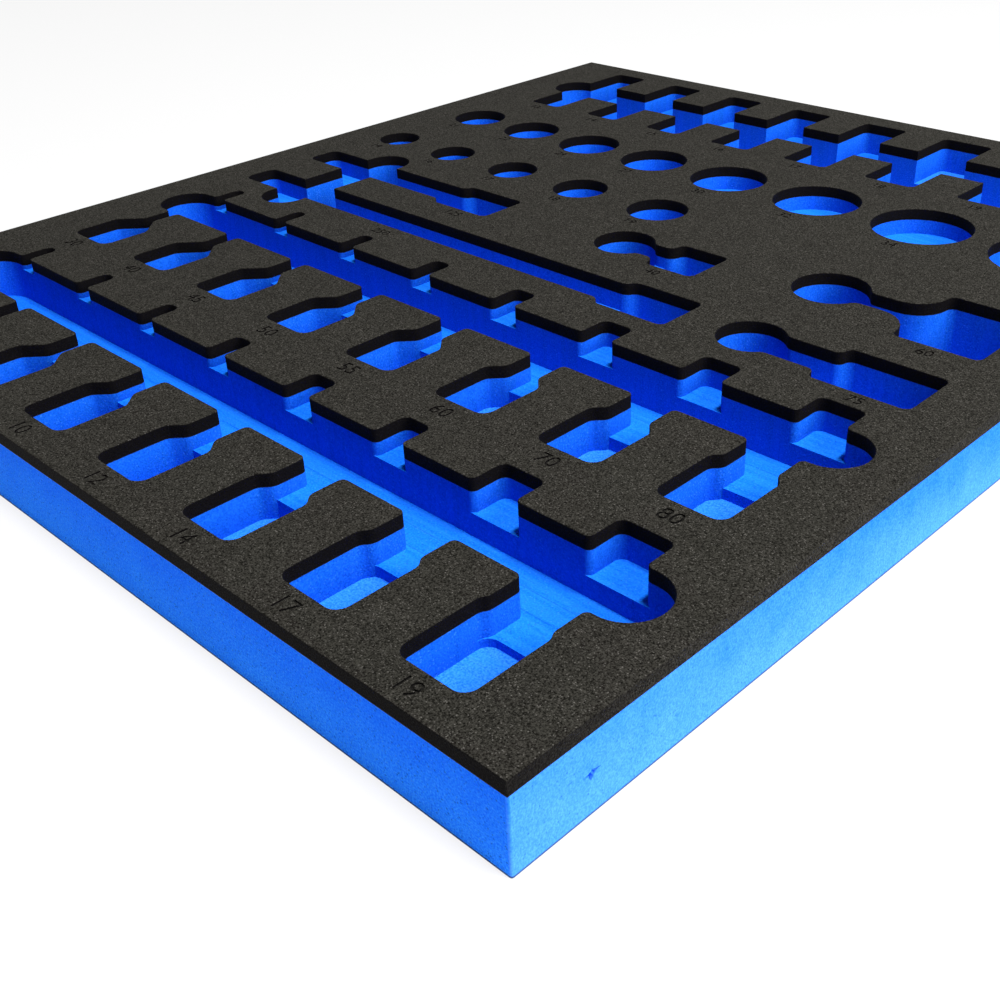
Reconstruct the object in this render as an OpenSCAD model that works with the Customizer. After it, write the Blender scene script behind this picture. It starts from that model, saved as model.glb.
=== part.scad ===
// Foam tool drawer insert: a thin dark cover sheet bonded to a thick coloured base slab.
// The pockets are routed through the cover and down into the base, each to its own depth.
// Millimetres, +Z up, origin under the middle of the tray, front edge towards -Y.
// Places on the tray are counted from its right edge (u, leftwards) and front edge (v, backwards).

/* [Foam sheets] */
// Thickness of the base slab
base_t = 29.5; // [26:0.5:60]
// Thickness of the adhesive film between the two sheets
film_t = 0.2; // [0.1:0.1:1]
// Thickness of the cover sheet
cover_t = 5.5; // [3:0.5:6]

/* [Walls and gaps] */
// Width of the drawer that the tray fills; the rows spread evenly over it
tray_w = 475; // [465:0.5:515]
// Strip left along each side edge; the bits of a row share the width between the two strips
side_wall = 17.5; // [10:0.5:30]
// Foam left between the row of large sockets and each side edge
large_socket_side = 26; // [16:0.5:40]
// Foam left between the row of long sockets and each side edge
long_socket_side = 40.5; // [30:0.5:60]
// Foam left in front of the first row of bits
front_wall = 14.5; // [10:0.5:40]
// Foam left behind the row of long sockets
back_wall = 15; // [10:0.5:40]
// Strip between the two rows of bits, wide enough for a line of numbers
bit_row_gap = 19; // [12:0.5:40]
// Strip between the second row of bits and the bars
bar_row_gap = 11; // [9:0.5:40]
// Strip between the long bar and the medium bar
bar_step_gap = 16.5; // [10:0.5:40]
// Strip between the long bar and the adaptor
adaptor_gap = 20.5; // [12:0.5:40]
// Strip between the short bar and the swivel joint
joint_gap = 22.5; // [12:0.5:40]
// From the middle of the medium bar to the middle of the small sockets
small_socket_step = 50.5; // [45:0.5:80]
// From the middle of the small sockets to the middle of the large sockets
large_socket_step = 63.5; // [58:0.5:90]
// From the middle of the large sockets to the ends of the long sockets
long_socket_step = 48.5; // [42:0.5:80]

/* [Cutting] */
// How far the axes of the lying tools are sunk below the top face
axis_drop = 4; // [3:0.5:5]
// How far the axis of the short bar is sunk below the top face
short_axis_drop = 5.5; // [3:0.5:7]
// Depth of the finger troughs and finger holes below the top face
finger_depth = 24; // [20:0.5:28]
// Width of the finger troughs
trough_w = 28.5; // [22:0.5:32]
// Radius left by the cutter in the corners of a pocket
corner_r = 5; // [2:0.5:7]
// Radius left by the finer cutter in tip slots, bars and long sockets
fine_corner_r = 3.5; // [1:0.5:5]
// Radius on the foam where a pocket runs out into a trough
mouth_r = 2.5; // [1:0.5:5]
// Radius of the curves from a wide pocket into a narrow one
blend_r = 5; // [2:0.5:8]

/* [Bits] */
// Width of the pocket for the square-drive end of a bit
bit_body_w = 29.5; // [26:0.5:36]
// Length of that pocket's deep part
bit_body_l = 36; // [24:0.5:40]
// From the end of a bit's pocket to its neck, where the slope from the wide part ends
bit_shoulder = 37.5; // [32:0.5:40]
// Steepest angle of that slope
bit_slope = 45; // [35:1:90]
// From the end of a bit's pocket to its finger trough
bit_reach = 50; // [48:0.5:70]
// Length of the slot for the tip, beyond the trough
bit_tip_l = 15.5; // [9:0.5:24]
// How far the hexagon bits' trough runs past the first bit
hex_trough_over = 31; // [22:0.5:32]
// How far the star bits' trough runs past the first bit
star_trough_over = 29; // [22:0.5:32]
// How far each trough runs past the last bit
trough_over = 23; // [20:0.5:32]
// Necks of the hexagon bits, right to left
hex_neck_w = [26, 23.5, 21, 18, 16, 12.5, 11, 10]; // [6:0.5:27]
// Tip slots of the hexagon bits, right to left
hex_tip_w = [23, 20.5, 14.5, 14.5, 11, 8.5, 8.5, 7.5]; // [5:0.5:27]
// Necks of the star bits, right to left
star_neck_w = [22, 19.5, 17, 15, 12.5, 10.5, 8.5, 7.5]; // [6:0.5:27]
// Tip slots of the star bits, right to left
star_tip_w = [20.5, 18.5, 16, 13, 10.5, 8.5, 7.5, 7.5]; // [5:0.5:27]

/* [Bars and joints] */
// Width of the pocket for the socket end of the long and medium bars
bar_body_w = 29; // [24:0.5:36]
// Length of that pocket
bar_body_l = 35; // [24:0.5:50]
// Width of the pocket for their shafts
bar_shaft_w = 19.5; // [14:0.5:23]
// Length of the long bar's pocket
long_bar_l = 309; // [280:0.5:330]
// Length of the medium bar's pocket
medium_bar_l = 153.5; // [130:0.5:165]
// Width of the trough that crosses both bars
cross_w = 26; // [22:0.5:36]
// From the left ends of the bars to the middle of that trough
cross_inset = 43.5; // [34:0.5:60]
// How far that trough runs past the axes of the bars
cross_over = 26.5; // [18:0.5:26.5]
// Width of the pocket for the socket end of the short bar
short_body_w = 31.5; // [24:0.5:36]
// Length of that pocket
short_body_l = 41; // [24:0.5:50]
// Width of the pocket for its shaft
short_shaft_w = 18.5; // [14:0.5:23]
// From the end of the short bar to its finger hole
short_reach = 81.5; // [78:0.5:100]
// Width of the pocket for the adaptor's body
adaptor_body_w = 29.5; // [24:0.5:36]
// Length of that pocket
adaptor_body_l = 24; // [16:0.5:26]
// Width of the adaptor's neck
adaptor_neck_w = 14; // [10:0.5:18]
// From the end of the adaptor to its finger hole
adaptor_reach = 52; // [50:0.5:70]
// Width of the pocket for the swivel joint's body
joint_body_w = 51; // [44:0.5:52]
// Length of that pocket
joint_body_l = 36; // [24:0.5:40]
// Width of the swivel joint's neck
joint_neck_w = 13; // [10:0.5:20]
// From the end of the swivel joint to its finger hole
joint_reach = 84.5; // [80:0.5:110]
// Diameter of the finger holes of the short bar and the adaptor
finger_d = 30; // [26:0.5:34]
// Diameter of the swivel joint's finger hole
joint_finger_d = 35; // [28:0.5:38]
// Gap between the short bar and the long bar
bar_end_gap = 20; // [8:0.5:45]
// Gap between the swivel joint and the adaptor
joint_end_gap = 38; // [8:0.5:60]

/* [Sockets] */
// Depth of the holes for the standing sockets below the top face
socket_depth = 13; // [9:0.5:24]
// Holes of the large sockets, right to left
large_socket_d = [54, 50, 46, 42, 38, 36, 34, 32]; // [20:0.5:56]
// Holes of the small sockets, right to left
small_socket_d = [32, 30, 28, 26, 24]; // [16:0.5:34]
// Gap between neighbouring small sockets
small_socket_gap = 23; // [8:0.5:24]
// Pockets of the long sockets lying on their sides, right to left
long_socket_w = [31, 30, 30, 28, 27, 25, 24, 24]; // [16:0.5:32]
// Length of a long socket's pocket
long_socket_l = 90; // [84:0.5:120]
// From the ends of the long sockets to their finger trough
long_socket_reach = 30.5; // [20:0.5:40]
// How far that trough runs past the last socket on each side
long_socket_over = 14.5; // [10:0.5:16]

/* [Hidden] */

$fn = 96;
// Straight steps in a quarter of a blended curve
arc_steps = 6;
// Overlap that lets cuts run into each other and past the faces
lap = 1;
// Overlap of a fillet with the round hole that it runs out in
fillet_lap = 0.02;

function total(list, n) = n <= 0 ? 0 : list[n - 1] + total(list, n - 1);
function row_length(sizes, gap) = total(sizes, len(sizes)) + (len(sizes) - 1) * gap;
function place_in_row(sizes, gap, i) = total(sizes, i) + i * gap + sizes[i] / 2;

// Depth of a pocket in which a round tool of this width lies with its axis sunk this far
function lying_depth(w, drop = axis_drop) = drop + w / 2;

// Gap that spreads a row over the tray with this much foam at each end
function spread_gap(sizes, side) = (tray_w - 2 * side - total(sizes, len(sizes))) / (len(sizes) - 1);

// Spacing of the rows that are spread, and lengths of the others from side to side
bit_count = len(hex_neck_w);
bit_pitch = (tray_w - 2 * side_wall) / bit_count;
large_socket_gap = spread_gap(large_socket_d, large_socket_side);
long_socket_gap = spread_gap(long_socket_w, long_socket_side);
short_bar_l = short_reach + finger_d / 2;
adaptor_l = adaptor_reach + finger_d / 2;
joint_l = joint_reach + joint_finger_d / 2;
bar_row_l = short_bar_l + bar_end_gap + long_bar_l;
small_row_l = row_length(small_socket_d, small_socket_gap);

// Places of the rows from front to back
bit_l = bit_reach + trough_w + bit_tip_l;
hex_v = front_wall;
star_v = hex_v + bit_l + bit_row_gap;
bars_v = star_v + bit_l + bar_row_gap;
long_bar_v = bars_v + bar_body_w / 2;
short_bar_v = bars_v + short_body_w / 2;
medium_bar_v = bars_v + bar_body_w + bar_step_gap + bar_body_w / 2;
adaptor_v = bars_v + bar_body_w + adaptor_gap + adaptor_body_w / 2;
joint_v = bars_v + short_body_w + joint_gap + joint_body_w / 2;
small_socket_v = medium_bar_v + small_socket_step;
large_socket_v = small_socket_v + large_socket_step;
long_socket_v = large_socket_v + long_socket_step;
tray_d = long_socket_v + long_socket_l + back_wall;

// Places of the tools from right to left
bit_u = side_wall + bit_pitch / 2;
bars_right = (tray_w - bar_row_l) / 2;
bars_left = bars_right + bar_row_l;
long_bar_u = bars_left - long_bar_l;
medium_bar_u = bars_left - medium_bar_l;
adaptor_u = bars_right + joint_l + joint_end_gap;
cross_u = bars_left - cross_inset;
small_right = bars_left - small_row_l;

// Radius of the curve from the swivel joint's body into its neck
joint_flare_r = (joint_body_w - joint_neck_w) / 2 - fine_corner_r;

// Heights
film_z = base_t;
cover_z = base_t + film_t;
top_z = cover_z + cover_t;

// Points of an arc about c
function arc(c, r, a0, a1) =
    [for (i = [0:arc_steps]) let (a = a0 + (a1 - a0) * i / arc_steps) c + r * [cos(a), sin(a)]];

// The other half of an outline that is even about its axis
function mirrored(half) = [for (i = [len(half) - 1:-1:0]) [-half[i].x, half[i].y]];

// Angle that a corner of r0 and a flare of r1 turn through from width w0 to width w1
function shoulder_turn(w0, w1, r0, r1, steepest = 90) =
    min(steepest, acos(max(0, 1 - (w0 - w1) / 2 / (r0 + r1))));

// Their length, with the straight slope between them where the angle is held to the steepest
function shoulder_l(w0, w1, r0, r1, steepest = 90) =
    let (
        a = shoulder_turn(w0, w1, r0, r1, steepest),
        straight = (w0 - w1) / 2 - (r0 + r1) * (1 - cos(a))
    )
    (r0 + r1) * sin(a) + straight / tan(a);

// Outline from width w0 to width w1, starting at height y: a corner of r0, a slope, then a flare of r1
function shoulder(w0, w1, y, r0, r1, steepest = 90) =
    let (a = shoulder_turn(w0, w1, r0, r1, steepest))
    concat(
        arc([w0 / 2 - r0, y], r0, 0, a),
        arc([w1 / 2 + r1, y + shoulder_l(w0, w1, r0, r1, steepest)], r1, 180 + a, 180)
    );

// Outline of the blunt end of a pocket, at its start and at its finish
function tail(w, r) = arc([w / 2 - r, r], r, -90, 0);
function nose(w, y, r) = arc([w / 2 - r, y - r], r, 0, 90);

// Outline where a neck opens into a finger hole of radius hole_r about height y
function into_hole(w, y, hole_r, r) =
    let (
        out = w / 2 + r,
        rise = sqrt(pow(hole_r + r - fillet_lap, 2) - pow(out, 2))
    )
    concat(arc([out, y - rise], r, 180, 90 + atan(out / rise)), [[w / 2, y]]);

// Outlines that run out into a trough at height y, ahead of it and behind it
function into_trough(w, y, r) = concat(arc([w / 2 + r, y - r], r, 180, 90), [[w / 2 + r, y + lap]]);
function out_of_trough(w, y, r) = concat([[w / 2 + r, y - lap]], arc([w / 2 + r, y + r], r, 270, 180));

module outline(half) {
    polygon(concat(half, mirrored(half)));
}

// A place on the tray, and a tool there that points back or left
module at(u, v) {
    translate([tray_w / 2 - u, v - tray_d / 2]) children();
}
module lying(u, v) {
    at(u, v) rotate(90) children();
}

module rounded_pocket(w, l, r) {
    outline(concat(tail(w, r), nose(w, l, r)));
}

module bit_neck(neck_w) {
    slope_l = shoulder_l(bit_body_w, neck_w, blend_r, blend_r, bit_slope);
    outline(concat(
        tail(bit_body_w, corner_r),
        shoulder(bit_body_w, neck_w, bit_shoulder - slope_l, blend_r, blend_r, bit_slope),
        into_trough(neck_w, bit_reach, mouth_r)
    ));
}

module bit_tip(tip_w) {
    outline(concat(
        out_of_trough(tip_w, bit_reach + trough_w, mouth_r),
        nose(tip_w, bit_l, min(fine_corner_r, tip_w / 2))
    ));
}

// A trough with round ends between two places on the axis, along X or along Y
module trough_along_x(u0, u1, v, w) {
    at((u0 + u1) / 2, v) square([u1 - u0 - w, w], center = true);
    at(u0 + w / 2, v) circle(d = w);
    at(u1 - w / 2, v) circle(d = w);
}
module trough_along_y(u, v0, v1, w) {
    at(u, (v0 + v1) / 2) square([w, v1 - v0 - w], center = true);
    at(u, v0 + w / 2) circle(d = w);
    at(u, v1 - w / 2) circle(d = w);
}

module bit_body(neck_w) {
    intersection() {
        rounded_pocket(bit_body_w, bit_body_l, corner_r);
        bit_neck(neck_w);
    }
}

module bit_trough(v, over) {
    last_u = bit_u + (bit_count - 1) * bit_pitch;
    trough_along_x(bit_u - over, last_u + trough_over, v + bit_reach + trough_w / 2, trough_w);
}

// Deep part of a pocket: its body of width w0 and length l, and the curve from there to width w1
module deep_part(w0, w1, l, r0, r1) {
    intersection() {
        translate([-w0 / 2, 0]) square([w0, l + shoulder_l(w0, w1, r0, r1)]);
        children();
    }
}

module bar(l) {
    outline(concat(
        tail(bar_body_w, fine_corner_r),
        shoulder(bar_body_w, bar_shaft_w, bar_body_l, blend_r, blend_r),
        nose(bar_shaft_w, l, corner_r)
    ));
}

module short_bar() {
    outline(concat(
        tail(short_body_w, fine_corner_r),
        shoulder(short_body_w, short_shaft_w, short_body_l, fine_corner_r, fine_corner_r),
        into_hole(short_shaft_w, short_reach, finger_d / 2, corner_r)
    ));
}

module adaptor() {
    outline(concat(
        tail(adaptor_body_w, fine_corner_r),
        shoulder(adaptor_body_w, adaptor_neck_w, adaptor_body_l, fine_corner_r, corner_r),
        into_hole(adaptor_neck_w, adaptor_reach, finger_d / 2, corner_r)
    ));
}

module joint() {
    outline(concat(
        tail(joint_body_w, fine_corner_r),
        shoulder(joint_body_w, joint_neck_w, joint_body_l, fine_corner_r, joint_flare_r),
        into_hole(joint_neck_w, joint_reach, joint_finger_d / 2, corner_r)
    ));
}

// Everything cut to one depth below the top face
module cut(depth) {
    translate([0, 0, top_z - depth]) linear_extrude(depth + lap) children();
}

// Cuts of one row of bits: stepped bodies, necks and tips, and the trough across them
module bit_row_cuts(v, neck_w, tip_w, over) {
    for (i = [0:bit_count - 1]) {
        u = bit_u + i * bit_pitch;
        cut(lying_depth(bit_body_w)) at(u, v) bit_body(neck_w[i]);
        cut(lying_depth(tip_w[i])) at(u, v) bit_neck(neck_w[i]);
        cut(lying_depth(tip_w[i])) at(u, v) bit_tip(tip_w[i]);
    }
    cut(finger_depth) bit_trough(v, over);
}

// Cuts of the bars, the adaptor and the swivel joint, with their finger holes and cross trough
module bar_cuts() {
    for (place = [[long_bar_u, long_bar_v, long_bar_l], [medium_bar_u, medium_bar_v, medium_bar_l]]) {
        cut(lying_depth(bar_body_w)) lying(place[0], place[1])
            deep_part(bar_body_w, bar_shaft_w, bar_body_l, blend_r, blend_r) bar(place[2]);
        cut(lying_depth(bar_shaft_w)) lying(place[0], place[1]) bar(place[2]);
    }
    cut(lying_depth(short_body_w, short_axis_drop)) lying(bars_right, short_bar_v)
        deep_part(short_body_w, short_shaft_w, short_body_l, fine_corner_r, fine_corner_r) short_bar();
    cut(lying_depth(short_shaft_w, short_axis_drop)) lying(bars_right, short_bar_v) short_bar();
    cut(lying_depth(adaptor_body_w)) lying(adaptor_u, adaptor_v)
        deep_part(adaptor_body_w, adaptor_neck_w, adaptor_body_l, fine_corner_r, corner_r) adaptor();
    cut(lying_depth(adaptor_neck_w)) lying(adaptor_u, adaptor_v) adaptor();
    cut(lying_depth(joint_body_w)) lying(bars_right, joint_v)
        deep_part(joint_body_w, joint_neck_w, joint_body_l, fine_corner_r, joint_flare_r) joint();
    cut(lying_depth(joint_neck_w)) lying(bars_right, joint_v) joint();
    cut(finger_depth) {
        at(bars_right + short_reach, short_bar_v) circle(d = finger_d);
        at(adaptor_u + adaptor_reach, adaptor_v) circle(d = finger_d);
        at(bars_right + joint_reach, joint_v) circle(d = joint_finger_d);
        trough_along_y(cross_u, long_bar_v - cross_over, medium_bar_v + cross_over, cross_w);
    }
}

// Cuts of the standing sockets and of the long sockets with their trough
module socket_cuts() {
    for (i = [0:len(large_socket_d) - 1])
        cut(socket_depth)
            at(large_socket_side + place_in_row(large_socket_d, large_socket_gap, i), large_socket_v)
                circle(d = large_socket_d[i]);
    for (i = [0:len(small_socket_d) - 1])
        cut(socket_depth)
            at(small_right + place_in_row(small_socket_d, small_socket_gap, i), small_socket_v)
                circle(d = small_socket_d[i]);
    for (i = [0:len(long_socket_w) - 1])
        cut(lying_depth(long_socket_w[i]))
            at(long_socket_side + place_in_row(long_socket_w, long_socket_gap, i), long_socket_v)
                rounded_pocket(long_socket_w[i], long_socket_l, fine_corner_r);
    cut(finger_depth)
        trough_along_x(
            long_socket_side - long_socket_over,
            tray_w - long_socket_side + long_socket_over,
            long_socket_v + long_socket_reach + trough_w / 2,
            trough_w
        );
}

module all_cuts() {
    bit_row_cuts(hex_v, hex_neck_w, hex_tip_w, hex_trough_over);
    bit_row_cuts(star_v, star_neck_w, star_tip_w, star_trough_over);
    bar_cuts();
    socket_cuts();
}

// One sheet of the tray between two heights, with the pockets cut out of it
module sheet(z, t) {
    difference() {
        translate([-tray_w / 2, -tray_d / 2, z]) cube([tray_w, tray_d, t]);
        all_cuts();
    }
}

module base_slab() {
    color("#1f6ff0") sheet(0, base_t);
}
module bond_film() {
    color("#16306e") sheet(film_z, film_t);
}
module cover_sheet() {
    color("#2b2b28") sheet(cover_z, cover_t);
}

base_slab();
bond_film();
cover_sheet();
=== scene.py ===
import math

import bpy
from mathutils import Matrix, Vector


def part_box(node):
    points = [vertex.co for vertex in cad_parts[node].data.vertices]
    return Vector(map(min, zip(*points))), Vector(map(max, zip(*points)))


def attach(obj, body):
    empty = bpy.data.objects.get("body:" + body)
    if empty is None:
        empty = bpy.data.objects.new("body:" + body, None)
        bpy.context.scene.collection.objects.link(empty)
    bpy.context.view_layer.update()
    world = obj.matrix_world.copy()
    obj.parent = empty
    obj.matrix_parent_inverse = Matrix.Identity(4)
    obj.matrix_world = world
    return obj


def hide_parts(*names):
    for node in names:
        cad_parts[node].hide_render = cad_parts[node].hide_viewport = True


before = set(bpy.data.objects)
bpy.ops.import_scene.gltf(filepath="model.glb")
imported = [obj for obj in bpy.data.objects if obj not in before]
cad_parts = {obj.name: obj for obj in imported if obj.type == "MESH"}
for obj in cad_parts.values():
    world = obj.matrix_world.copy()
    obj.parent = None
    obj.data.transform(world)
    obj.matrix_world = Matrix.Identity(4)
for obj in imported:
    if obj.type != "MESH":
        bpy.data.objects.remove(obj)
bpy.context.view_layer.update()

# Lengths are in metres, in the frame of the solids: the tray lies flat, its front edge towards -Y.
MM = 0.001
tray_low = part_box("base_slab")[0]
tray_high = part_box("cover_sheet")[1]
tray_top = tray_high[2]
tray_right = tray_high[0]
tray_front = tray_low[1]

# Places on the tray in millimetres: leftwards from its right edge, backwards from its front edge,
# and down from its top face.
FIRST_BIT = 45
BIT_PITCH = 55
TROUGH_STARTS = (64.5, 177.5, 485.5)
TROUGH_WIDTH = 28.5
TROUGH_DEPTH = 24
BODY_FLOOR_DEPTHS = (18.2, 19.9)

# Small sizes: corners this close are one, and a place this close to a face is on it.
MERGE = 0.001 * MM
TOUCH = 0.01 * MM

WHITE = (1, 1, 1)


def across(u):
    """X of a place counted leftwards from the tray's right edge, in millimetres."""
    return tray_right - u * MM


def back(v):
    """Y of a place counted backwards from the tray's front edge, in millimetres."""
    return tray_front + v * MM


# Nodes

def wire(tree, source, target):
    tree.links.new(source, target)


def node(tree, kind, **settings):
    made = tree.nodes.new(kind)
    for key, value in settings.items():
        setattr(made, key, value)
    return made


def feed(tree, socket, value):
    """Gives a socket a number, the three values of a colour, or what another socket puts out."""
    if isinstance(value, tuple):
        socket.default_value = (*value, 1)
    elif isinstance(value, (int, float)):
        socket.default_value = value
    else:
        wire(tree, value, socket)


def maths(tree, operation, first, second=0):
    """One operation on two values, each a socket or a number."""
    made = node(tree, "ShaderNodeMath", operation=operation)
    feed(tree, made.inputs[0], first)
    feed(tree, made.inputs[1], second)
    return made.outputs[0]


def product(tree, first, *others):
    """Several values multiplied, each a socket or a number."""
    for other in others:
        first = maths(tree, "MULTIPLY", first, other)
    return first


def opposite(tree, mask):
    """All that a mask leaves out."""
    return maths(tree, "SUBTRACT", 1, mask)


def spread(tree, value, low, high, to_low=0.0, to_high=1.0):
    """A value's range from low to high, stretched to another and held there."""
    made = node(tree, "ShaderNodeMapRange", clamp=True)
    wire(tree, value, made.inputs["Value"])
    feed(tree, made.inputs["From Min"], low)
    feed(tree, made.inputs["From Max"], high)
    feed(tree, made.inputs["To Min"], to_low)
    feed(tree, made.inputs["To Max"], to_high)
    return made.outputs["Result"]


def noise(tree, place, scale, detail, roughness=0.5):
    """Soft noise at a place; its scale is a socket or a number."""
    made = node(tree, "ShaderNodeTexNoise")
    wire(tree, place, made.inputs["Vector"])
    feed(tree, made.inputs["Scale"], scale)
    feed(tree, made.inputs["Detail"], detail)
    feed(tree, made.inputs["Roughness"], roughness)
    return made.outputs["Fac"]


def tint(tree, share, under, over):
    """One colour laid over another by a share; each colour is a socket or a triple."""
    made = node(tree, "ShaderNodeMix", data_type="RGBA", clamp_factor=True)
    wire(tree, share, made.inputs["Factor"])
    for label, colour in (("A", under), ("B", over)):
        socket = [s for s in made.inputs if s.name == label and s.type == "RGBA"][0]
        feed(tree, socket, colour)
    return [s for s in made.outputs if s.type == "RGBA"][0]


def laid(tree, under, mask, strength, over):
    """One colour laid over another where a mask is, at part of its full strength."""
    return tint(tree, product(tree, mask, strength), under, over)


def blend(tree, share, first, second):
    """Two shaders mixed by a share, which is a socket or a number."""
    made = node(tree, "ShaderNodeMixShader")
    feed(tree, made.inputs["Fac"], share)
    wire(tree, first, made.inputs[1])
    wire(tree, second, made.inputs[2])
    return made.outputs["Shader"]


def new_material(name):
    """An empty material, with its output node."""
    material = bpy.data.materials.new(name)
    material.use_nodes = True
    tree = material.node_tree
    tree.nodes.clear()
    return material, tree, node(tree, "ShaderNodeOutputMaterial")


def new_finish(name, specular):
    """A material with one shader, which shines as much as is said."""
    material, tree, out = new_material(name)
    shader = node(tree, "ShaderNodeBsdfPrincipled")
    feed(tree, shader.inputs["Specular IOR Level"], specular)
    wire(tree, shader.outputs["BSDF"], out.inputs["Surface"])
    return material, tree, shader


# Camera, lamps and floor

def place_camera():
    """A low view over the front right corner, as close as the picture's."""
    data = bpy.data.cameras.new("bench_camera")
    data.sensor_width = 36
    data.lens = 45.514
    data.shift_x = -0.03986
    data.shift_y = 0.00042
    data.clip_start = 0.01
    camera = bpy.data.objects.new("bench_camera", data)
    camera.location = (0.40421, -0.43226, 0.25743)
    camera.rotation_euler = [math.radians(a) for a in (57.876, 1.622, 43.907)]
    bpy.context.scene.collection.objects.link(camera)
    bpy.context.scene.camera = camera


def soft_lamp(name, place, aim, width, depth, watts):
    """A soft box at a place, turned towards a point."""
    data = bpy.data.lights.new(name, "AREA")
    data.shape = "RECTANGLE"
    data.size = width
    data.size_y = depth
    data.energy = watts
    lamp = bpy.data.objects.new(name, data)
    lamp.location = place
    gap = [a - p for a, p in zip(aim, place)]
    flat = math.hypot(gap[0], gap[1])
    lamp.rotation_euler = (math.atan2(flat, -gap[2]), 0, math.atan2(-gap[0], gap[1]))
    bpy.context.scene.collection.objects.link(lamp)


def seen_rays(tree):
    """A mask of the rays that show a backdrop: straight from the camera, off gloss or through glass."""
    path = node(tree, "ShaderNodeLightPath")
    plain = maths(tree, "MAXIMUM", path.outputs["Is Camera Ray"], path.outputs["Is Glossy Ray"])
    return maths(tree, "MAXIMUM", plain, path.outputs["Is Transmission Ray"])


def studio_air():
    """A faint even light from all round, which shows as white where no paper is."""
    faint = 0.04
    full = 1
    world = bpy.data.worlds.new("studio")
    bpy.context.scene.world = world
    world.use_nodes = True
    tree = world.node_tree
    tree.nodes.clear()
    skies = []
    for strength in (faint, full):
        sky = node(tree, "ShaderNodeBackground")
        feed(tree, sky.inputs["Color"], WHITE)
        feed(tree, sky.inputs["Strength"], strength)
        skies.append(sky.outputs["Background"])
    out = node(tree, "ShaderNodeOutputWorld")
    wire(tree, blend(tree, seen_rays(tree), *skies), out.inputs["Surface"])


def bench_paper():
    """White paper that shows as white, with the tray's soft shadow left on it."""
    glow_share = 0.82
    material, tree, out = new_material("bench_paper")
    paper = node(tree, "ShaderNodeBsdfDiffuse")
    feed(tree, paper.inputs["Color"], (0.86, 0.86, 0.86))
    glow = node(tree, "ShaderNodeEmission")
    feed(tree, glow.inputs["Color"], WHITE)
    feed(tree, glow.inputs["Strength"], 1)
    shown = blend(tree, glow_share, paper.outputs["BSDF"], glow.outputs["Emission"])
    picked = blend(tree, seen_rays(tree), paper.outputs["BSDF"], shown)
    wire(tree, picked, out.inputs["Surface"])
    return material


def set_the_stage():
    """A bench covered in white paper, soft boxes overhead and at the right, and a low strip in front."""
    bench_width = 9
    gap_under_tray = 0.1 * MM
    bpy.ops.object.select_all(action="DESELECT")
    bpy.ops.mesh.primitive_plane_add(size=bench_width, location=(0, 0, tray_low[2] - gap_under_tray))
    paper = bpy.context.object
    paper.name = "bench"
    bpy.ops.object.transform_apply(location=True, rotation=False, scale=False)
    paper.data.materials.append(bench_paper())
    soft_lamp("overhead_box", place=(0.62, -0.12, 2.0), aim=(0.05, -0.05, 0),
              width=0.5, depth=0.2, watts=46)
    soft_lamp("right_box", place=(1.45, 0.20, 0.85), aim=(0.2, -0.05, 0.02),
              width=1.2, depth=0.8, watts=40)
    soft_lamp("front_strip", place=(-0.35, -1.7, 0.14), aim=(0, -0.28, 0.02),
              width=1.6, depth=0.2, watts=4.5)
    studio_air()
    bpy.context.scene.view_settings.view_transform = "Standard"


# Effects that the finishes share

def new_group(name, outputs):
    """An empty node group, with its output node."""
    group = bpy.data.node_groups.new(name, "ShaderNodeTree")
    for label in outputs:
        group.interface.new_socket(label, in_out="OUTPUT", socket_type="NodeSocketFloat")
    return group, node(group, "NodeGroupOutput")


def group_input(group, label, value):
    """A number that a finish may set where it uses a group."""
    socket = group.interface.new_socket(label, in_out="INPUT", socket_type="NodeSocketFloat")
    socket.default_value = value
    return node(group, "NodeGroupInput").outputs[label]


def use_group(tree, group, **values):
    made = node(tree, "ShaderNodeGroup", node_tree=group)
    for label, value in values.items():
        made.inputs[label.replace("_", " ")].default_value = value
    return made.outputs


def foam_cells():
    """The cut cells of closed-cell foam.

    Puts out their mottle, slow clouds, bright cells as painted glints, dark pits, a few deep specks, and
    the height.
    """
    clouds_per_cell = 0.06
    group, out = new_group("foam_cells", ("Mottle", "Clouds", "Painted glints", "Pits", "Specks", "Height"))
    scale = group_input(group, "Cells per metre", 1500)
    place = node(group, "ShaderNodeTexCoord").outputs["Object"]
    fine = noise(group, place, scale, detail=1, roughness=0.6)
    slow = noise(group, place, product(group, scale, clouds_per_cell), detail=3)
    wire(group, spread(group, fine, 0.32, 0.68), out.inputs["Mottle"])
    wire(group, spread(group, slow, 0.3, 0.7), out.inputs["Clouds"])
    cells = node(group, "ShaderNodeTexVoronoi", feature="F1")
    wire(group, place, cells.inputs["Vector"])
    wire(group, scale, cells.inputs["Scale"])
    lot = node(group, "ShaderNodeSeparateColor")
    wire(group, cells.outputs["Color"], lot.inputs["Color"])
    middle = spread(group, cells.outputs["Distance"], 0.15, 0.6, 1.0, 0.0)
    for label, drawn, low, high in (
            ("Painted glints", "Red", 0.78, 1.0),
            ("Pits", "Green", 0.72, 0.95),
            ("Specks", "Green", 0.965, 0.985)):
        chosen = spread(group, lot.outputs[drawn], low, high)
        wire(group, product(group, chosen, middle), out.inputs[label])
    lift = product(group, lot.outputs["Blue"], middle)
    wire(group, maths(group, "ADD", lift, fine), out.inputs["Height"])
    return group


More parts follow.
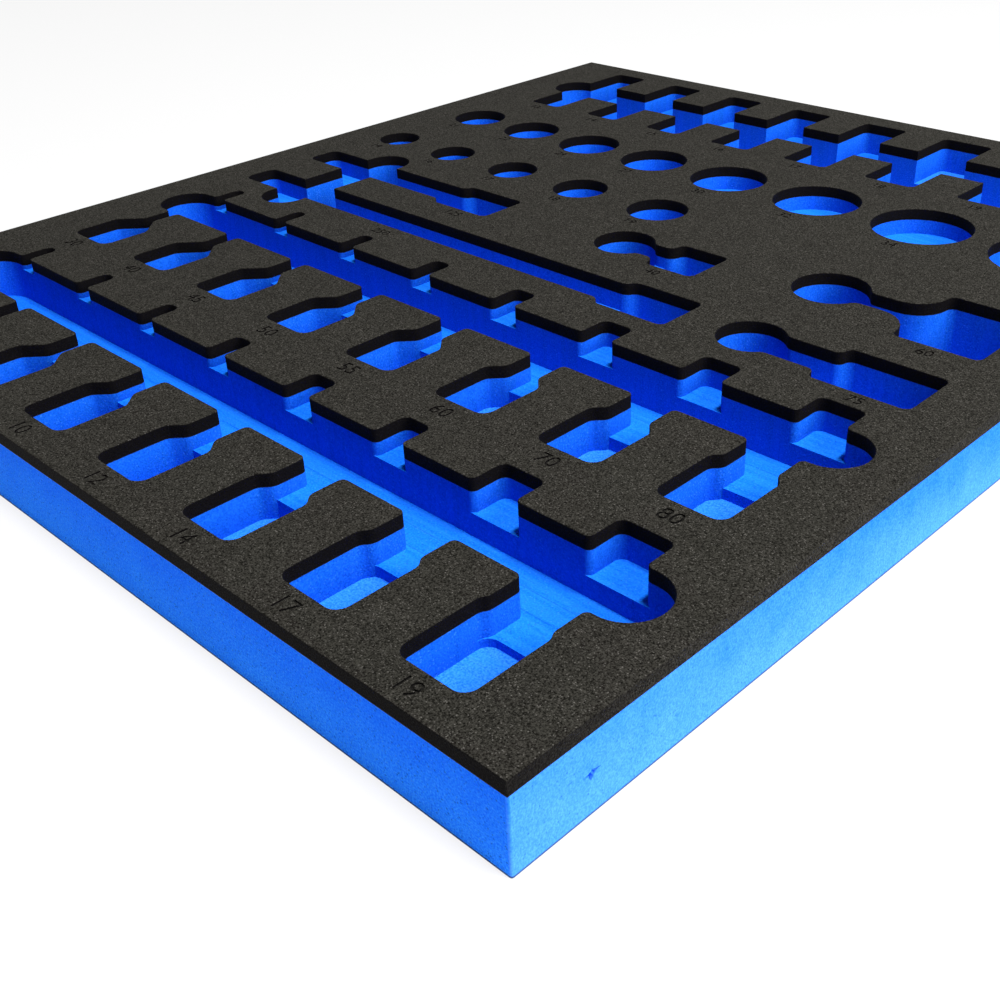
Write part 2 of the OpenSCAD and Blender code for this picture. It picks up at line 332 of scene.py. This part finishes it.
def cut_marks():
    """Marks that the cutter leaves: upright streaks on walls and long passes on floors.

    Puts out which faces are walls, too.
    """
    group, out = new_group("cut_marks", ("Wall", "Streaks", "Passes"))
    face = node(group, "ShaderNodeNewGeometry")
    turn = node(group, "ShaderNodeSeparateXYZ")
    wire(group, face.outputs["True Normal"], turn.inputs["Vector"])
    upright = maths(group, "ABSOLUTE", turn.outputs["Z"])
    wire(group, spread(group, upright, 0.35, 0.85, 1.0, 0.0), out.inputs["Wall"])
    place = node(group, "ShaderNodeTexCoord").outputs["Object"]
    for label, stretch, edge in (("Streaks", (300, 300, 8), 0.15), ("Passes", (7, 480, 7), 0.1)):
        lie = node(group, "ShaderNodeMapping", vector_type="POINT")
        lie.inputs["Scale"].default_value = stretch
        wire(group, place, lie.inputs["Vector"])
        marks = noise(group, lie.outputs["Vector"], 1, detail=2)
        wire(group, spread(group, marks, 0.5 - edge, 0.5 + edge), out.inputs[label])
    return group


def grained(tree, shader, height, strength, depth):
    """Gives a shader the relief of a height."""
    relief = node(tree, "ShaderNodeBump")
    feed(tree, relief.inputs["Strength"], strength)
    feed(tree, relief.inputs["Distance"], depth)
    wire(tree, height, relief.inputs["Height"])
    wire(tree, relief.outputs["Normal"], shader.inputs["Normal"])


def along(tree):
    """X, Y and Z of the place on the surface."""
    place = node(tree, "ShaderNodeTexCoord")
    spot = node(tree, "ShaderNodeSeparateXYZ")
    wire(tree, place.outputs["Object"], spot.inputs["Vector"])
    return spot.outputs


def outer_faces(tree, spot, axis, reach):
    """A mask of the two outer faces across an axis, and a reach behind them, in millimetres."""
    fade = 0.3
    edge = {"X": tray_right, "Y": -tray_front}[axis]
    far = maths(tree, "ABSOLUTE", spot[axis])
    return spread(tree, far, edge - (reach + fade) * MM, edge - reach * MM)


def deeper(tree, spot, depth):
    """A mask of what lies further under the top face than a depth, in millimetres."""
    fade = 0.1
    return spread(tree, spot["Z"], tray_top - (depth + fade) * MM, tray_top - depth * MM, 1.0, 0.0)


def mottled(tree, grain, shades):
    """The colour of foam, from the shade of its dark cells to that of its light ones."""
    return tint(tree, grain["Mottle"], *shades)


# Finishes; a pair of shades is for the dark cells and the light ones

def blue_base_foam(cells, marks):
    """Bright blue foam: rough where it was sawn or cut wide, sliced at the ends, with painted shade on the
    pockets' walls.

    The outer faces are paler at the foot than at the rim as painted light, the ends paler still as a
    painted sheen, and the lower edge dark as a painted contact shadow.
    """
    smooth_floor = ((0.003, 0.133, 0.84), (0.009, 0.208, 0.95))
    pocket_wall_shade = ((0.002, 0.075, 0.48), (0.007, 0.125, 0.64))
    wide_floor = ((0.009, 0.160, 0.93), (0.040, 0.290, 0.98))
    sawn_foot_lit = ((0.005, 0.148, 0.95), (0.026, 0.275, 1.0))
    sawn_rim_shaded = ((0.002, 0.100, 0.90), (0.010, 0.190, 0.97))
    sheen_end_foot_lit = ((0.038, 0.200, 0.87), (0.068, 0.285, 0.94))
    sheen_end_rim_shaded = ((0.008, 0.125, 0.87), (0.024, 0.192, 0.94))
    pit = (0.004, 0.085, 0.60)
    painted_glint = (0.10, 0.42, 1.0)
    speck = (0.004, 0.060, 0.45)
    streak = (0.008, 0.120, 0.80)
    cutter_pass = (0.020, 0.260, 1.0)
    contact_shadow_blue = (0.030, 0.055, 0.10)

    material, tree, foam = new_finish("blue_base_foam", specular=0.04)
    grain = use_group(tree, cells, Cells_per_metre=1350)
    cut = use_group(tree, marks)
    spot = along(tree)
    floors = opposite(tree, cut["Wall"])
    ends = outer_faces(tree, spot, "X", reach=0.7)
    fronts = outer_faces(tree, spot, "Y", reach=0.7)
    inside = opposite(tree, maths(tree, "MAXIMUM", ends, fronts))
    shallowest, deepest = BODY_FLOOR_DEPTHS
    below_bodies = deeper(tree, spot, deepest)
    wide = product(tree, floors, deeper(tree, spot, shallowest), opposite(tree, below_bodies))
    # Painted light and shade on the outer faces: paler at the foot, darker at the rim, with random clouds;
    # on the ends the darkening grows towards the back.
    rim_shade_share = maths(tree, "MAXIMUM", fronts, spread(tree, spot["Y"], back(0), back(200), 0.35, 1.0))
    rim_shade_and_clouds = product(tree, spread(tree, spot["Z"], 3 * MM, 27 * MM), rim_shade_share)
    rim_shade_and_clouds = maths(tree, "ADD", rim_shade_and_clouds, spread(tree, grain["Clouds"], 0, 1, -0.2, 0.2))
    # Painted contact shadow: a dark band along the lower edge of the outer faces.
    contact_shadow = spread(tree, spot["Z"], 0.8 * MM, 1.05 * MM, 1.0, 0.0)

    sawn = tint(tree, rim_shade_and_clouds, mottled(tree, grain, sawn_foot_lit), mottled(tree, grain, sawn_rim_shaded))
    # Painted sheen: the ends are paler and whiter than the fronts, standing in for the sheen of the light
    # from the right.
    sliced = tint(tree, rim_shade_and_clouds, mottled(tree, grain, sheen_end_foot_lit), mottled(tree, grain, sheen_end_rim_shaded))
    # Painted shade: the pockets' walls are much darker than their floors.
    colour = tint(tree, cut["Wall"], mottled(tree, grain, smooth_floor), mottled(tree, grain, pocket_wall_shade))
    colour = tint(tree, wide, colour, mottled(tree, grain, wide_floor))
    colour = tint(tree, fronts, colour, sawn)
    colour = laid(tree, colour, grain["Pits"], 0.6, pit)
    # Painted glints: bright cells standing in for light caught by the foam's cells.
    colour = laid(tree, colour, grain["Painted glints"], 0.3, painted_glint)
    colour = tint(tree, ends, colour, sliced)
    colour = laid(tree, colour, grain["Specks"], 0.7, speck)
    colour = laid(tree, colour, product(tree, cut["Streaks"], cut["Wall"], inside), 0.3, streak)
    colour = laid(tree, colour, product(tree, cut["Passes"], floors), 0.3, cutter_pass)
    # The painted contact shadow laid along the lower edge.
    colour = laid(tree, colour, contact_shadow, 0.85, contact_shadow_blue)
    wire(tree, colour, foam.inputs["Base Color"])
    wire(tree, spread(tree, grain["Mottle"], 0, 1, 0.92, 0.76), foam.inputs["Roughness"])
    relief = product(tree, grain["Height"], spread(tree, ends, 0, 1, 1.0, 0.4))
    grained(tree, foam, relief, strength=0.35, depth=0.25 * MM)
    return material


def black_cover_foam(cells, marks):
    """Dark grey foam, its top face uncut, with painted glints on its cells; nearly black where it is cut,
    with painted shade in the figures and painted light on the ends.
    """
    top_face = ((0.0030, 0.0027, 0.0020), (0.0360, 0.0343, 0.0290))
    pit = (0.0030, 0.0028, 0.0024)
    painted_glint = (0.18, 0.17, 0.155)
    cut_face = (0.0022, 0.0018, 0.0022)
    number_floor = 0.45

    material, tree, foam = new_finish("black_cover_foam", specular=0.03)
    grain = use_group(tree, cells, Cells_per_metre=1750)
    cut = use_group(tree, marks)
    spot = along(tree)
    ends = outer_faces(tree, spot, "X", reach=0.3)
    # Painted light: the cover's ends lose their cut black towards the back, where the light from the right
    # falls on them.
    painted_end_light = spread(tree, spot["Y"], back(5), back(85), 0.12, 0.8)
    away_from_end_light = opposite(tree, product(tree, ends, painted_end_light))
    bare = product(tree, cut["Wall"], away_from_end_light, 0.94)
    # The figures' sunk floors take the cut colour: partly cut foam, and partly painted shade in the
    # grooves.
    sunk_cut_and_shade = product(tree, deeper(tree, spot, number_floor), away_from_end_light, 0.58)

    colour = mottled(tree, grain, top_face)
    colour = laid(tree, colour, grain["Pits"], 0.8, pit)
    colour = laid(tree, colour, grain["Clouds"], 0.16, pit)
    # Painted glints: bright cells standing in for light caught by the foam's cells.
    colour = laid(tree, colour, grain["Painted glints"], 0.55, painted_glint)
    colour = tint(tree, maths(tree, "MAXIMUM", bare, sunk_cut_and_shade), colour, cut_face)
    wire(tree, colour, foam.inputs["Base Color"])
    wire(tree, spread(tree, grain["Mottle"], 0, 1, 0.88, 0.66), foam.inputs["Roughness"])
    grained(tree, foam, grain["Height"], strength=0.5, depth=0.25 * MM)
    return material


def glue_film(marks):
    """Thin adhesive between the foams, darker where it soaked in."""
    soaked = (0.002, 0.005, 0.024)
    plain = (0.004, 0.013, 0.060)
    material, tree, glue = new_finish("glue_film", specular=0.3)
    streaks = use_group(tree, marks)["Streaks"]
    wire(tree, tint(tree, streaks, soaked, plain), glue.inputs["Base Color"])
    wire(tree, spread(tree, streaks, 0, 1, 0.55, 0.75), glue.inputs["Roughness"])
    return material


# Shaping

def alone(piece):
    """Selects one piece and nothing else."""
    bpy.ops.object.select_all(action="DESELECT")
    piece.select_set(True)
    bpy.context.view_layer.objects.active = piece


def work_on(piece, mode="VERT"):
    """Edit mode on one piece alone, with nothing selected in it."""
    alone(piece)
    bpy.ops.object.mode_set(mode="EDIT")
    bpy.ops.mesh.select_mode(type=mode)
    bpy.ops.mesh.select_all(action="DESELECT")


def leave():
    bpy.ops.object.mode_set(mode="OBJECT")


def mark(piece, kind, wanted):
    """Selects the faces, edges or corners that a test picks; edit mode is left and entered again."""
    leave()
    for item in getattr(piece.data, kind):
        item.select = wanted(item)
    bpy.ops.object.mode_set(mode="EDIT")


def copied_solid(name, solid, close):
    """A piece of its own from a solid, with corners that lie close together merged."""
    piece = bpy.data.objects.new(name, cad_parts[solid].data.copy())
    bpy.context.scene.collection.objects.link(piece)
    piece.data.materials.clear()
    work_on(piece)
    bpy.ops.mesh.customdata_custom_splitnormals_clear()
    bpy.ops.mesh.select_all(action="SELECT")
    bpy.ops.mesh.remove_doubles(threshold=close)
    bpy.ops.mesh.mark_sharp(clear=True)
    leave()
    return piece


def whole_faces(piece):
    """Makes one face of the triangles that lie flat beside each other."""
    work_on(piece)
    bpy.ops.mesh.select_all(action="SELECT")
    bpy.ops.mesh.dissolve_limited(angle_limit=math.radians(0.1))
    leave()


def ends_of(piece, edge):
    return [piece.data.vertices[i].co for i in edge.vertices]


def near_side(place, axis, reach):
    """Whether a place lies within reach of one of the tray's two sides across an axis."""
    return min(abs(place[axis] - tray_low[axis]), abs(place[axis] - tray_high[axis])) < reach


def round_outer_corners(piece, radius):
    """Rounds the edges that stand upright at the four outer corners."""
    def corner(edge):
        one, other = ends_of(piece, edge)
        outer = all(near_side(end, axis, TOUCH) for end in (one, other) for axis in (0, 1))
        return outer and all(abs(one[axis] - other[axis]) < TOUCH for axis in (0, 1))

    work_on(piece, "EDGE")
    mark(piece, "edges", corner)
    bpy.ops.mesh.bevel(offset=radius, segments=4, affect="EDGES")
    leave()


def round_bottom_edges(piece, radius):
    """Rounds the edges that run round the underside."""
    corner_reach = 0.7 * MM

    def rim(edge):
        ends = ends_of(piece, edge)
        low = all(end[2] < tray_low[2] + TOUCH for end in ends)
        return low and any(all(near_side(end, axis, corner_reach) for end in ends) for axis in (0, 1))

    work_on(piece, "EDGE")
    mark(piece, "edges", rim)
    bpy.ops.mesh.bevel(offset=radius, segments=3, affect="EDGES")
    leave()


def round_top_edges(piece, radius):
    """Rolls the rim of every cut-out, and the outer rim, over into the top face."""
    quarter_round = ((0.134, 0.5), (0.366, 0.366), (0.5, 0.134))
    work_on(piece, "FACE")
    mark(piece, "polygons", lambda f: f.normal[2] > 0.99 and f.center[2] > tray_top - 0.05 * MM)
    bpy.ops.transform.translate(value=(0, 0, -radius))
    for inwards, upwards in quarter_round:
        bpy.ops.mesh.inset(thickness=inwards * radius, depth=upwards * radius)
    leave()


def raise_pass_line(piece, floor, y, y_low, y_high):
    """A thin ridge that two passes of the cutter leave along a trough's floor."""
    height = 0.3 * MM
    half_width = 0.45

    def on_floor(face):
        level = face.normal[2] > 0.9 and abs(face.center[2] - floor) < height
        return level and y_low < face.center[1] < y_high

    def on_crest(corner):
        return abs(corner.co[1] - y) < TOUCH and abs(corner.co[2] - floor) < 0.05 * MM

    for step in (-half_width, 0, half_width):
        work_on(piece, "FACE")
        mark(piece, "polygons", on_floor)
        bpy.ops.mesh.bisect(plane_co=(0, y + step * MM, 0), plane_no=(0, 1, 0))
        leave()
    work_on(piece, "VERT")
    mark(piece, "vertices", on_crest)
    bpy.ops.transform.translate(value=(0, 0, height))
    leave()


def joined(pieces, name):
    """Several pieces made one."""
    bpy.ops.object.select_all(action="DESELECT")
    for piece in pieces:
        piece.select_set(True)
    bpy.context.view_layer.objects.active = pieces[0]
    bpy.ops.object.join()
    whole = bpy.context.object
    whole.name = name
    return whole


def cut_away(piece, cutter):
    """Takes the cutter's shape out of a piece, and the cutter away."""
    cut = piece.modifiers.new("cut", "BOOLEAN")
    cut.operation = "DIFFERENCE"
    cut.solver = "EXACT"
    cut.object = cutter
    alone(piece)
    bpy.ops.object.modifier_apply(modifier=cut.name)
    bpy.data.objects.remove(cutter, do_unlink=True)


def finish_surface(piece, material, angle):
    """Smooth curves, flat flats, and the finish."""
    alone(piece)
    bpy.ops.object.shade_smooth_by_angle(angle=math.radians(angle))
    even = piece.modifiers.new("even", "WEIGHTED_NORMAL")
    even.keep_sharp = True
    even.weight = 100
    bpy.ops.object.modifier_apply(modifier=even.name)
    piece.data.materials.clear()
    piece.data.materials.append(material)


# Pieces

def in_a_row(sizes, widths, start, gap):
    """Each size with its pocket's width and middle, for pockets set side by side from a start."""
    u = start
    for size, width in zip(sizes, widths):
        yield size, width, u + width / 2
        u += width + gap


def engraved_numbers():
    """Sizes in front of the pockets: number, place across, place back, height of the figures."""
    large, small = 7.0, 5.5
    below_hole = 6.5
    hexes = (19, 17, 14, 12, 10, 8, 7, 6)
    stars = (80, 70, 60, 55, 50, 45, 40, 30)
    tools = ((75, 44, 226.8), (250, 321, 229.2), (125, 313, 271.5), (40, 182, 275.5), (60, 45, 279.5))
    low_sockets = in_a_row((19, 18, 17, 16, 14), (32, 30, 28, 26, 24), start=218.25, gap=23)
    wide_sockets = in_a_row(
        (36, 34, 32, 30, 27, 24, 22, 21), (54, 50, 46, 42, 38, 36, 34, 32), start=26, gap=13)
    long_sockets = in_a_row(
        (21, 19, 18, 17, 16, 15, 14, 13), (31, 30, 30, 28, 27, 25, 24, 24), start=40.5, gap=25)

    rows = []
    for sizes, v in ((hexes, 6.9), (stars, 119.3)):
        rows += [(size, FIRST_BIT + BIT_PITCH * i, v, large) for i, size in enumerate(sizes)]
    rows += [(size, u, v, small) for size, u, v in tools]
    for sockets, v in ((low_sockets, 343), (wide_sockets, 406.5)):
        rows += [(size, u, v - hole / 2 - below_hole, small) for size, hole, u in sockets]
    rows += [(size, u, 446.5, small) for size, _, u in long_sockets]
    return rows


def number_stamp(number, u, v, height, depth):
    """A number as a solid that is sunk into the top face."""
    figure_share = 0.72
    jitter = 0.004 * MM
    bpy.ops.object.select_all(action="DESELECT")
    bpy.ops.object.text_add(location=(across(u), back(v), tray_top))
    stamp = bpy.context.object
    stamp.data.body = str(number)
    stamp.data.align_x = "CENTER"
    stamp.data.align_y = "CENTER"
    stamp.data.size = height * MM / figure_share
    stamp.data.resolution_u = 4
    stamp.data.extrude = depth
    bpy.ops.object.convert(target="MESH")
    bpy.ops.object.transform_apply(location=True, rotation=True, scale=True)
    bpy.ops.object.mode_set(mode="EDIT")
    bpy.ops.mesh.select_all(action="SELECT")
    bpy.ops.mesh.remove_doubles(threshold=MERGE)
    bpy.ops.transform.vertex_random(offset=jitter, seed=number)
    leave()
    return stamp


def make_cover(material):
    """The cover, with rolled rims and numbers; short facets are merged so that the rims roll evenly."""
    short_facet = 0.26 * MM
    number_depth = 0.6 * MM
    cover = copied_solid("cover_foam", "cover_sheet", short_facet)
    round_top_edges(cover, 0.4 * MM)
    stamps = [number_stamp(*row, number_depth) for row in engraved_numbers()]
    cut_away(cover, joined(stamps, "stamps"))
    finish_surface(cover, material, 35)
    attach(cover, "root")
    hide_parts("cover_sheet")


def knock(v, z, size, turn):
    """A dented pebble in the right side that leaves a torn nick where it is taken out of the foam."""
    dent = 0.18
    bpy.ops.object.select_all(action="DESELECT")
    bpy.ops.mesh.primitive_ico_sphere_add(subdivisions=3, radius=1, location=(0, 0, 0))
    pebble = bpy.context.object
    for corner in pebble.data.vertices:
        bump = 1 + dent * math.sin(7 * corner.co[1] + 2) * math.cos(6 * corner.co[2] + 1)
        corner.co = corner.co * bump
    pebble.scale = [s * MM for s in size]
    pebble.rotation_euler = (math.radians(turn), 0, 0)
    pebble.location = (tray_right, back(v), z * MM)
    bpy.ops.object.transform_apply(location=True, rotation=True, scale=True)
    return pebble


def make_base(material):
    """The base, with rounded outer edges, ridges along the troughs' floors and a nick."""
    base = copied_solid("base_foam", "base_slab", MERGE)
    whole_faces(base)
    round_outer_corners(base, 0.9 * MM)
    round_bottom_edges(base, 0.3 * MM)
    trough_floor = tray_top - TROUGH_DEPTH * MM
    for start in TROUGH_STARTS:
        for share in (0.34, 0.67):
            line = start + TROUGH_WIDTH * share
            raise_pass_line(base, trough_floor, back(line), back(start), back(start + TROUGH_WIDTH))
    knocks = [
        knock(v=31.2, z=15.6, size=(1.4, 3.5, 0.6), turn=4),
        knock(v=30.9, z=14.8, size=(1.6, 0.8, 2.0), turn=-12),
        knock(v=31.5, z=15.4, size=(1.9, 1.4, 1.0), turn=30),
    ]
    for pebble in knocks:
        cut_away(base, pebble)
    finish_surface(base, material, 30)
    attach(base, "root")
    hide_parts("base_slab")


def make_film(material):
    """The glue, as it lies between the foams."""
    film = copied_solid("glue_layer", "bond_film", MERGE)
    finish_surface(film, material, 30)
    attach(film, "root")
    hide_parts("bond_film")


place_camera()
set_the_stage()
cells = foam_cells()
marks = cut_marks()
make_base(blue_base_foam(cells, marks))
make_film(glue_film(marks))
make_cover(black_cover_foam(cells, marks))
